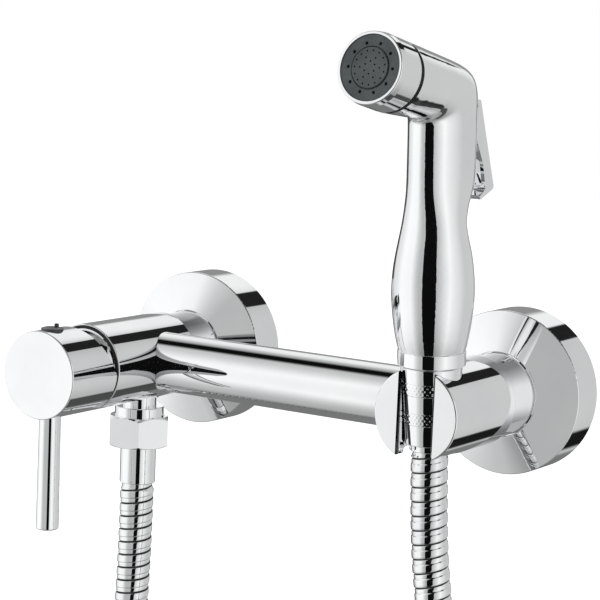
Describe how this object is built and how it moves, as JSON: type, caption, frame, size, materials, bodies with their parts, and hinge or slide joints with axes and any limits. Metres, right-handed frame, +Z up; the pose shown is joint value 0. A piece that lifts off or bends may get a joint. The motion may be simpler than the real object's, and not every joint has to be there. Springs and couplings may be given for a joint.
{
  "type": "bidet shower mixer",
  "caption": "Wall-mounted single-lever mixer for a bidet shower: valve leg, cross bar, holder leg, ribbed hose and a trigger hand spray standing in the holder.",
  "frame": {"origin": "on the wall plane, midway between the two inlet axes", "axes": "+X from the valve leg to the holder leg, +Y into the wall, +Z up"},
  "size_m": [0.215, 0.1444, 0.5981],
  "materials": {
    "chrome": "mirror polished",
    "hose_metal": "polished interlocked band",
    "bare_brass": "machined",
    "steel": "bright",
    "black_rubber": "matte",
    "ceramic": "ground flat",
    "white_plastic": "moulded",
    "grey_rubber": "matte",
    "dark_plastic": "glossy moulded"
  },
  "bodies": {
    "mixer": {"inlet_union_left": "bare_brass", "inlet_union_right": "bare_brass", "wall_flange_left": "chrome", "wall_flange_right": "chrome", "union_nut_left": "chrome", "union_nut_right": "chrome", "inlet_tail_left": "bare_brass", "inlet_tail_right": "bare_brass", "union_washers": "black_rubber", "inlet_strainers": "steel", "valve_body": "chrome", "holder_leg": "chrome", "cross_bar": "chrome", "cartridge_base": "white_plastic", "port_seals": "black_rubber", "fixed_disc": "ceramic", "cartridge_housing": "white_plastic", "cartridge_nut": "bare_brass", "dome_cap": "chrome", "gap_ring": "black_rubber", "outlet_nipple": "chrome", "hose_nut": "chrome", "outlet_washer": "black_rubber", "hose_tail_outlet": "bare_brass", "hose_ferrule_outlet": "chrome", "shower_hose": "hose_metal"},
    "temperature_guide": {"rotating_guide": "white_plastic", "guide_pin": "steel"},
    "handle": {"handle_hub": "chrome", "lever_rod": "chrome", "grub_screw": "steel", "index_plug": "dark_plastic", "spindle": "bare_brass"},
    "valve_disc": {"moving_disc": "ceramic", "disc_carrier": "white_plastic"},
    "hose_end": {"hose_tail_cone": "bare_brass", "hose_ferrule_cone": "chrome"},
    "hand_spray": {"cone_nut": "chrome", "cone_washer": "black_rubber", "spray_fitting": "chrome", "spray_shell": "chrome", "water_tube": "white_plastic", "valve_housing": "white_plastic", "gland_nut": "steel", "head_duct": "white_plastic", "nose_plug": "white_plastic", "joint_ring": "black_rubber", "head_barrel": "chrome", "spray_plate": "grey_rubber", "flow_plate": "white_plastic", "trigger_pin": "steel", "valve_spring": "steel"},
    "trigger": {"trigger": "chrome"},
    "spool": {"valve_spool": "white_plastic", "spool_seals": "black_rubber"}
  },
  "joints": [
    {"name": "temperature_turn", "type": "hinge", "parent": "mixer", "child": "temperature_guide", "pos_m": [-0.075, -0.08, 0], "axis": [0, 1, 0], "range_deg": [-50, 50]},
    {"name": "lever_lift", "type": "hinge", "parent": "temperature_guide", "child": "handle", "pos_m": [-0.075, -0.08, 0], "axis": [-1, 0, 0], "range_deg": [0, 25]},
    {"name": "disc_slide", "type": "slide", "parent": "temperature_guide", "child": "valve_disc", "axis": [0, 0, -1], "range_m": [0, 0.00213]},
    {"name": "handset_lift", "type": "slide", "parent": "mixer", "child": "hose_end", "axis": [0, -0.0576, 0.9983], "range_m": [0, 0.06]},
    {"name": "handset_swivel", "type": "hinge", "parent": "hose_end", "child": "hand_spray", "pos_m": [0.075, -0.0738, 0], "axis": [0, -0.0576, 0.9983], "range_deg": [-120, 120]},
    {"name": "trigger_press", "type": "hinge", "parent": "hand_spray", "child": "trigger", "pos_m": [0.075, -0.0637, 0.11327], "axis": [-1, 0, 0], "range_deg": [0, 8], "stiffness_Nm_per_rad": 0.9, "springref_deg": -8.59},
    {"name": "stem_slide", "type": "slide", "parent": "hand_spray", "child": "spool", "axis": [0, -0.9983, -0.0576], "range_m": [0, 0.0033], "deforming": ["valve_spring"]}
  ],
  "couplings": [
    {"joint": "disc_slide", "follows": "lever_lift", "m_per_rad": 0.004843},
    {"joint": "stem_slide", "follows": "trigger_press", "m_per_rad": 0.0222}
  ]
}
